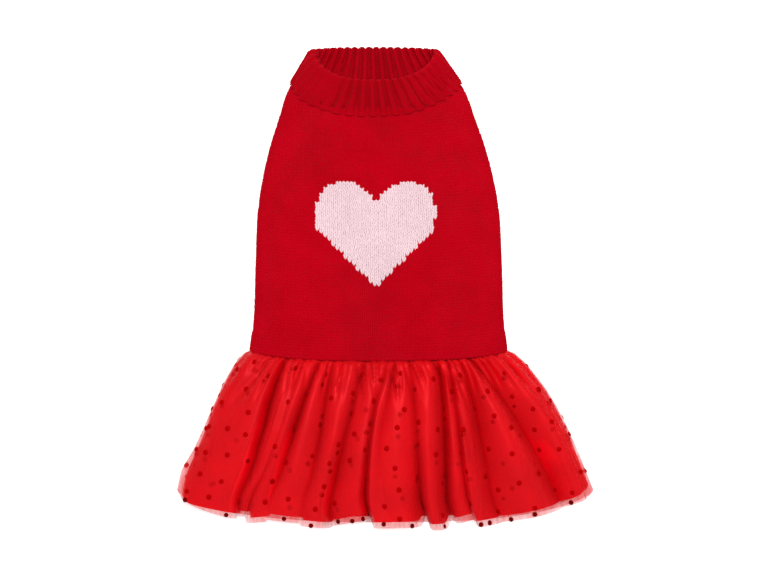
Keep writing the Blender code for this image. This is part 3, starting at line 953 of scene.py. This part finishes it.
class Skirt:
    """The skirt's surface with its folds, puckers and creases, at a fold number and a share of its length.

    Folds are counted from the right side over the front to the left side and back under the belly side.
    """

    def __init__(self, rng):
        rows = []
        for crease in reversed(FRONT_CREASES):
            turns = [side_turn(place) for place in crease[:3]]
            hem = [value / 1000 for value in crease[8:11]]
            rows.append(Crease(*turns, *crease[3:8], *hem, crease.slit))
        self.front_folds = len(rows) - 1
        span = math.pi - 2 * BELLY_VALLEY_MARGIN
        for number in range(BELLY_FOLD_COUNT):
            turn = math.pi + BELLY_VALLEY_MARGIN + span * number / (BELLY_FOLD_COUNT - 1)
            low = BELLY_FOLD_DEPTH / FOLD_DEPTH * (1.0 if number % 2 else BELLY_FOLD_LESSER)
            top, mid = BELLY_FOLD_TOP * low, BELLY_FOLD_MIDDLE * low
            rows.append(Crease(turn, turn, turn, top, mid, low, 0.5, 0, 0, 0, 0, 0))
        rows.append(Crease(*(turn + 2 * math.pi for turn in rows[0][:3]), *rows[0][3:]))
        self.creases = Crease(*np.array(rows, float).T)
        self.count = len(rows) - 1
        self.puckers = self.gathered_puckers(rng)

    def gathered_puckers(self, rng):
        """Rows of (side, place, slant, depth, width, start, end), in metres and shares of the half width."""
        rows = []
        for pucker in FRONT_PUCKERS:
            depth, width = pucker.depth / 1000, pucker.width / 1000
            rows.append((1, pucker.waist, pucker.slant, depth, width, pucker.start, pucker.end))
        step = 2 * PUCKER_PITCH / WAIST_WIDTH
        for side in (1, -1):
            for place in np.arange(-PUCKER_EDGE, PUCKER_EDGE, step):
                place += rng.uniform(*PUCKER_STRAY) * step
                strength = rng.uniform(*PUCKER_STRENGTHS)
                width = PUCKER_WIDTH * rng.uniform(*PUCKER_WIDTHS)
                slant = rng.normal(0, PUCKER_SLANT)
                end = rng.uniform(*PUCKER_ENDS) * (0.5 + strength / 2)
                rows.append((side, place, slant, strength * PUCKER_DEPTH, width, -1.0, end))
            for place in rng.uniform(-CREASE_EDGE, CREASE_EDGE, CREASE_COUNT):
                start = rng.uniform(*CREASE_STARTS)
                slant = rng.normal(0, CREASE_SLANT)
                depth = rng.uniform(*CREASE_STRENGTHS) * CREASE_DEPTH
                width = rng.uniform(*CREASE_WIDTHS)
                rows.append((side, place, slant, depth, width, start, start + rng.uniform(*CREASE_REACHES)))
        return rows

    def edges(self, i, along):
        """The turns of fold i's crease on its right and of the one on its left."""
        t = np.clip(along, 0, 1)
        waist, middle, hem = self.creases[:3]
        return [through(waist[j], middle[j], hem[j], t) for j in (i, i + 1)]

    def depths(self, i, along):
        """The depth of crease i, as a share of the fold depth."""
        t = np.clip(along, 0, 1)
        upper = np.clip(t / FOLD_MIDDLE, 0, 1)
        lower = np.clip((t - FOLD_MIDDLE) / (1 - FOLD_MIDDLE), 0, 1)
        top = self.creases.top[i] * blend(0.35, 1.0, smooth_step(-0.05, 0.10, along))
        mid, low = self.creases.mid[i], self.creases.low[i]
        return np.where(t < FOLD_MIDDLE, blend(top, mid, upper ** 0.8), blend(mid, low, lower))

    def __call__(self, fold, along, inset=0.0, narrowing=0.0, sway=0.0, left_drop=0.0, end=1.0):
        """Points of the surface. along is -1 at the tuck's end, 0 at the waist and 1 at the hem."""
        fold, along = np.broadcast_arrays(np.asarray(fold, float), np.asarray(along, float))
        fold = np.mod(fold, self.count)
        i = np.minimum(fold.astype(int), self.count - 1)
        share = fold - i
        right, left = self.edges(i, along)
        turn = blend(right, left, share)
        down = WAIST_DOWN + np.where(along < 0, along * TUCK_LENGTH, along * SKIRT_LENGTH)
        section = section_at(SKIRT_TABLE, down)

        crest, crest_sunk = self.creases.crest[i + 1], self.creases.sunk[i + 1]
        from_left = 1 - share
        rising = from_left < crest
        climb = np.where(rising, from_left / crest, share / (1 - crest))
        height = np.sin(math.pi / 2 * np.clip(climb, 0, 1)) ** FOLD_ROUNDNESS
        nearest = np.where(rising, i + 1, i)
        depth = self.depths(nearest, along)
        crest_sunk = np.minimum(crest_sunk * smooth_step(0.0, 0.4, along), depth)
        to_crease = np.minimum(share, 1 - share) * np.abs(left - right) * section.width / 2
        slit = SLIT_DEPTH * depth * np.exp(-((to_crease / SLIT_WIDTH) ** 2)) * self.creases.slit[nearest]
        sunk = FOLD_DEPTH * blend(depth, crest_sunk, height) + slit
        across = across_at(turn)
        sunk = sunk + self.puckers_at(across, np.sin(turn), along, section.width / 2)
        sunk = sunk * smooth_step(-0.04, 0.035, along)

        fitted = smooth_step(*NARROWING, along)
        width, lean = section.width - narrowing * fitted, section.lean + sway * fitted
        section = section._replace(width=width, lean=lean)
        points = ring_point(section, turn, inset)
        normal_x = np.cos(turn) / width
        normal_z = np.sin(turn) / section.height
        size = np.hypot(normal_x, normal_z)
        points[..., 0] -= sunk * normal_x / size
        points[..., 2] -= sunk * normal_z / size
        front = (i < self.front_folds) * smooth_step(0.05, 0.5, along)
        points[..., 0] += front * FOLD_SWAY * (crest - 0.5) * height * (depth - crest_sunk)

        # The hem hangs lower or higher from fold to fold, and rises in the notches.
        low = smooth_step(HANGING_FROM * end, end, along)
        hang = blend(self.creases.before[i], self.creases.after[i + 1], share)
        for j, away in ((i, share), (i + 1, 1 - share)):
            distance = away * np.abs(left - right) * section.width / 2
            hang = hang - self.creases.notch[j] * np.exp(-((distance / NOTCH_WIDTH) ** 2))
        points[..., 1] -= (hang + left_drop * np.clip(-across, 0, 1) ** 8) * low
        points[..., 2] = np.maximum(points[..., 2], np.maximum(inset, 0.0) + TABLE_GAP)
        return points

    def puckers_at(self, across, upright, along, half_width):
        """How far the short gathers at the waist and the long shallow creases sink the cloth."""
        sunk = np.zeros_like(across)
        for side, place, slant, depth, width, start, end in self.puckers:
            shows = smooth_step(start - 0.1, start + 0.12, along) * (1 - smooth_step(0.35 * end, end, along))
            away = (across - place - slant * np.clip(along, 0, 1)) * half_width
            wide = width * (1 + 0.8 * np.clip(along, 0, 1))
            sunk += depth * np.exp(-((away / wide) ** 2)) * shows * (side * upright > 0)
        return sunk * smooth_step(0.0, 0.35, np.abs(upright))


def fold_columns(skirt):
    """Fold numbers of the mesh's columns, closer on the front than on the belly side."""
    columns = []
    for fold, wide in enumerate(np.abs(np.diff(skirt.creases.middle))):
        step = math.pi / (FRONT_COLUMNS if fold < skirt.front_folds else BELLY_COLUMNS)
        steps = max(6, round(wide / step))
        columns.append(fold + np.arange(steps) / steps)
    return np.concatenate(columns)


def skirt_wall(name, skirt, alongs, columns, wall, material, inset, **fit):
    """A closed wall of the skirt. inset is how far its outer face lies inside the skirt's own surface."""
    grid_fold, grid_along = np.meshgrid(columns, alongs)
    depth = inset(grid_fold, grid_along)
    outer = skirt(grid_fold, grid_along, depth, **fit)
    inner = skirt(grid_fold, grid_along, depth + wall, **fit)
    piece = closed_wall(name, outer, inner, material)
    piece.data.set_sharp_from_angle(angle=math.radians(SHARP_FOLD))
    return piece


def tulle_lift(fold, along):
    """How far the tulle strays in or out from its folds: it floats off the satin and ripples by itself."""
    ripple = np.sin(2.3 * fold + 3.1 * along) * np.sin(1.1 * fold - 7 * along + 1)
    fine = np.sin(7.1 * fold + 5 * along) * np.sin(4 * fold + 19 * along)
    return (TULLE_RIPPLE * ripple + TULLE_FINE_RIPPLE * fine) * smooth_step(0.0, 0.3, along)


def satin_inset(fold, along):
    return np.full(np.shape(fold), SATIN_INSET)


def make_skirt(materials, rng):
    skirt = Skirt(rng)
    columns = fold_columns(skirt)
    tuck, gathers = np.linspace(-1, 0, 4)[:-1], np.linspace(0, 0.3, 24)[:-1]
    alongs = np.concatenate((tuck, gathers, np.linspace(0.3, 1, 44)))
    satin_alongs = np.where(alongs > 0, alongs * SATIN_FIT["end"], alongs)
    satin = skirt_wall(
        "satin", skirt, satin_alongs, columns, SATIN_WALL, materials["red_satin"], satin_inset, **SATIN_FIT
    )
    tulle = skirt_wall("tulle", skirt, alongs, columns, TULLE_WALL, materials["red_tulle"], tulle_lift)
    return skirt, satin, tulle


def dot_places(skirt, rng):
    """Fold numbers and lengths of dots scattered over the skirt, none closer to another than the spacing."""
    folds = np.linspace(0, skirt.count, 4000)
    tries = []
    for along in rng.uniform(DOT_START, DOT_END, DOT_TRIES):
        section = section_at(SKIRT_TABLE, WAIST_DOWN + along * SKIRT_LENGTH)
        if rng.uniform() < section.width / HEM_WIDTH:
            tries.append((rng.uniform(), along))
    lengths = travelled(skirt(folds, 0.6))
    tries = np.array(tries)
    tries[:, 0] = np.interp(tries[:, 0] * lengths[-1], lengths, folds)
    spots = skirt(tries[:, 0], tries[:, 1])
    # The spacing counts as seen from above, on the front and on the belly side apart.
    spots[:, 2] = tries[:, 0] < skirt.front_folds
    kept = []
    for number, spot in enumerate(spots):
        if not kept or np.linalg.norm(spots[kept] - spot, axis=-1).min() > DOT_SPACING:
            kept.append(number)
    return tries[kept]


def hem_places(skirt, rng):
    """Fold numbers and lengths of the dots in the band of tulle below the satin."""
    folds = np.linspace(0, skirt.front_folds, 6000)
    across = skirt(folds, HEM_DOT_ALONG)[:, 0] - SHIFT[0]
    fold = [folds[np.argmin(np.abs(across - wanted))] for wanted in HEM_DOTS]
    return np.stack((fold, HEM_DOT_ALONG + rng.uniform(*HEM_DOT_STRAY, len(fold))), axis=-1)


def twin_places(places, rng):
    """Dots of the tulle's under layer, which hangs a little lower, so they show beside the upper ones."""
    kept = places[rng.uniform(size=len(places)) < TWIN_SHARE]
    twins = kept + rng.normal(0, 1, kept.shape) * TWIN_SPREAD + TWIN_SHIFT
    return twins[(twins[:, 1] > TWIN_START) & (twins[:, 1] < TWIN_END)]


def make_dots(name, skirt, places, surface, inset, rise, material, rng, **fit):
    """Round flat dots that lie on the skirt's surface, each a low dome with a closed back."""
    fold, along = places.T
    inset = inset + surface(fold, along)
    centre = skirt(fold, along, inset, **fit)
    ahead = unit(skirt(fold, along - DOT_STEP, inset, **fit) - centre)
    beside = skirt(fold - DOT_STEP, along, inset, **fit) - centre
    normal = unit(np.cross(beside, ahead))
    across = np.cross(ahead, normal)
    sizes = DOT_RADIUS * rng.uniform(*DOT_UNEVENNESS, len(places))
    blocks = [centre + normal * rise]
    for share, height in DOT_RINGS:
        for angle in 2 * math.pi * np.arange(DOT_SIDES) / DOT_SIDES:
            around = across * math.cos(angle) + ahead * math.sin(angle)
            blocks.append(centre + around * (sizes[:, None] * share) + normal * rise * height)
    blocks.append(centre + normal * rise * DOT_RINGS[-1][1])
    points = np.stack(blocks, axis=1)
    points[..., 2] = np.maximum(points[..., 2], TABLE_GAP)
    starts = np.arange(len(places)) * points.shape[1]
    faces = [repeated(one, starts) for one in capped_faces(len(DOT_RINGS), DOT_SIDES)]
    return mesh_object(name, points.reshape(-1, 3), faces, material)


# Materials

class Nodes:
    """Short names for the nodes of one material."""

    def __init__(self, name, colour, roughness, specular=0.0, sheen=0.0, tint=(1.0, 1.0, 1.0)):
        self.material = bpy.data.materials.new(name)
        self.material.use_nodes = True
        self.tree = self.material.node_tree
        self.shader = self.tree.nodes["Principled BSDF"]
        values = {
            "Base Color": (*colour, 1.0),
            "Roughness": roughness,
            "Specular IOR Level": specular,
            "Specular Tint": (*tint, 1.0),
            "Sheen Weight": sheen,
            "Sheen Roughness": 0.4,
            "Sheen Tint": (*tint, 1.0),
        }
        for socket, value in values.items():
            self.shader.inputs[socket].default_value = value
        coordinates = self.tree.nodes.new("ShaderNodeTexCoord")
        self.position = coordinates.outputs["Object"]

    def node(self, kind, inputs=(), **settings):
        node = self.tree.nodes.new(kind)
        for key, value in settings.items():
            setattr(node, key, value)
        for key, value in dict(inputs).items():
            if isinstance(value, bpy.types.NodeSocket):
                self.tree.links.new(value, node.inputs[key])
            else:
                node.inputs[key].default_value = value
        return node

    def noise(self, scale, detail=2.0, vector=None):
        inputs = {"Vector": vector or self.position, "Scale": scale, "Detail": detail}
        return self.node("ShaderNodeTexNoise", inputs).outputs["Fac"]

    def stretched(self, scale):
        return self.node("ShaderNodeMapping", {"Vector": self.position, "Scale": scale}).outputs["Vector"]

    def ramp(self, value, stops):
        node = self.node("ShaderNodeValToRGB", {"Fac": value})
        elements = node.color_ramp.elements
        for index, (place, colour) in enumerate(stops):
            element = elements[index] if index < 2 else elements.new(place)
            element.position = place
            element.color = (*colour, 1.0)
        return node.outputs["Color"]

    def math(self, operation, first, second=0.0):
        return self.node("ShaderNodeMath", {0: first, 1: second}, operation=operation).outputs[0]

    def bump(self, height, strength, distance):
        inputs = {"Height": height, "Strength": strength, "Distance": distance}
        return self.node("ShaderNodeBump", inputs).outputs["Normal"]

    def link(self, output, socket):
        self.tree.links.new(output, self.shader.inputs[socket])


def yarn_material(name, dark, light, tint, fuzz):
    """Knitting yarn: streaks of fibre, patches of slightly different shade and a soft fuzz."""
    m = Nodes(name, light, 0.92, sheen=0.12, tint=tint)
    patches = m.noise(38, 3)
    fibres = m.noise(1500, 3, m.stretched((1.0, 0.35, 1.0)))
    shade = m.math("ADD", m.math("MULTIPLY", patches, 0.45), m.math("MULTIPLY", fibres, 0.55))
    m.link(m.ramp(shade, ((0.30, dark), (0.68, light))), "Base Color")
    m.link(m.bump(fibres, fuzz, 0.0006), "Normal")
    return m.material


def satin_material():
    """Satin: smooth bright threads that shine red where a fold faces the light."""
    m = Nodes("red_satin", (0.45, 0.0004, 0.003), 0.40, specular=1.0, tint=(1.0, 0.08, 0.10))
    patches = m.noise(24, 2)
    threads = m.noise(2600, 1, m.stretched((1.0, 0.12, 1.0)))
    shade = m.math("ADD", m.math("MULTIPLY", patches, 0.75), m.math("MULTIPLY", threads, 0.25))
    m.link(m.ramp(shade, ((0.36, (0.38, 0.0002, 0.002)), (0.64, (0.57, 0.0006, 0.004)))), "Base Color")
    m.link(m.bump(threads, 0.25, 0.0003), "Normal")
    return m.material


def tulle_material():
    """Sheer net: its threads cover little, so the satin and the table show through."""
    m = Nodes("red_tulle", (0.60, 0.006, 0.010), 0.50, specular=0.1, tint=(1.0, 0.2, 0.2))
    cloudy = m.noise(45, 2)
    streaks = m.noise(420, 1, m.stretched((1.0, 0.08, 1.0)))
    cover = m.math("ADD", m.math("MULTIPLY", cloudy, 0.27), m.math("MULTIPLY", streaks, 0.30))
    m.link(cover, "Alpha")
    m.material.surface_render_method = "DITHERED"
    return m.material


def flock_material(name, colour):
    m = Nodes(name, colour, 0.95)
    pile = m.noise(4200, 2)
    darker = tuple(0.7 * channel for channel in colour)
    m.link(m.ramp(pile, ((0.3, darker), (0.7, colour))), "Base Color")
    m.link(m.bump(pile, 0.6, 0.0003), "Normal")
    return m.material


def make_materials():
    red, pink = (1.0, 0.12, 0.15), (1.0, 0.85, 0.9)
    return {
        "red_knit": yarn_material("red_knit", (0.27, 0.0005, 0.004), (0.36, 0.0010, 0.007), red, 0.4),
        "red_rib": yarn_material("red_rib", (0.23, 0.0005, 0.003), (0.31, 0.0010, 0.006), red, 0.4),
        "pink_knit": yarn_material("pink_knit", (0.53, 0.385, 0.41), (0.61, 0.455, 0.485), pink, 0.9),
        "red_satin": satin_material(),
        "red_tulle": tulle_material(),
        "dot": flock_material("red_flock", (0.34, 0.0003, 0.001)),
        # The dots in the tulle's band below the satin are the same flock as the others, darkened with
        # painted shade.
        "hem_dot": flock_material("shaded_hem_flock", (0.12, 0.0006, 0.001)),
        "under_dot": flock_material("veiled_flock", (0.27, 0.0004, 0.001)),
    }


# Stage

def make_floor():
    corners = [(x * FLOOR_REACH, y * FLOOR_REACH, 0) for x, y in ((-1, -1), (1, -1), (1, 1), (-1, 1))]
    m = Nodes("pale_floor", (0.93, 0.93, 0.93), 0.9)
    m.link(m.ramp(m.noise(30, 2), ((0.2, (0.925, 0.925, 0.925)), (0.8, (0.94, 0.94, 0.94)))), "Base Color")
    m.shader.inputs["Emission Color"].default_value = (1, 1, 1, 1)
    m.shader.inputs["Emission Strength"].default_value = FLOOR_GLOW
    floor = mesh_object("floor", corners, [np.array([(0, 1, 2, 3)])], m.material, smooth=False)


def make_lights():
    """A square soft light above the collar that faces the dress, and an even white surrounding."""
    data = bpy.data.lights.new("key", "AREA")
    data.size = KEY_SIZE
    data.energy = KEY_POWER
    light = bpy.data.objects.new("key", data)
    light.location = KEY_PLACE
    light.rotation_euler = (-Vector(KEY_PLACE)).to_track_quat("-Z", "Y").to_euler()
    bpy.context.scene.collection.objects.link(light)
    world = bpy.context.scene.world or bpy.data.worlds.new("studio")
    bpy.context.scene.world = world
    world.use_nodes = True
    background = world.node_tree.nodes["Background"]
    background.inputs["Color"].default_value = (1, 1, 1, 1)
    background.inputs["Strength"].default_value = WORLD_STRENGTH
    bpy.context.scene.view_settings.view_transform = "Standard"


def make_camera():
    """Straight above the dress, as in the photograph, with a long lens."""
    data = bpy.data.cameras.new("camera")
    data.lens = CAMERA_LENS
    obj = bpy.data.objects.new("camera", data)
    x = (IMAGE_CENTRE[0] - MIDDLE_LINE_PIXEL) * PIXEL + SHIFT[0]
    y = SHIFT[1] - (IMAGE_CENTRE[1] - RIM_SIDE_PIXEL) * PIXEL
    height = data.lens / data.sensor_width * IMAGE_WIDTH * PIXEL
    obj.location = (x, y, height + CAMERA_FOCUS_HEIGHT)
    bpy.context.scene.collection.objects.link(obj)
    bpy.context.scene.camera = obj


def main():
    rng = np.random.default_rng(SEED)
    make_camera()
    make_lights()
    make_floor()
    materials = make_materials()

    cloth = make_knit_cloth(materials["red_knit"])
    front, heart = make_stitches(True, materials, rng)
    belly, = make_stitches(False, materials, rng)
    edges = make_leg_edges(materials["red_knit"])
    collar = make_collar(materials["red_rib"])
    collar_stitches = make_collar_stitches(materials["red_rib"], rng)
    skirt, satin, tulle = make_skirt(materials, rng)
    places = dot_places(skirt, rng)
    # The hem's dots take the flock with painted shade.
    on_tulle = (("tulle_dots", places, "dot"), ("hem_dots", hem_places(skirt, rng), "hem_dot"))
    dots = [
        make_dots(name, skirt, some, tulle_lift, DOT_INSET, DOT_RISE, materials[material], rng)
        for name, some, material in on_tulle
    ]
    twins = twin_places(places, rng)
    veiled = materials["under_dot"]
    dots.append(make_dots(
        "under_dots", skirt, twins, satin_inset, TWIN_INSET, TWIN_RISE, veiled, rng, **SATIN_FIT
    ))

    slots = {
        "red_knit": [cloth, front, belly, *edges],
        "pink_knit": [heart],
        "red_rib": [collar, collar_stitches],
        "red_satin": [satin],
        "red_tulle": [tulle, *dots],
    }
    for name, pieces in slots.items():
        for piece in pieces:
            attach(piece, BODY)
    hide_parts("knit_body")
    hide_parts("heart")
    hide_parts("collar")
    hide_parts("satin_skirt")
    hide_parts("tulle_overskirt")


main()
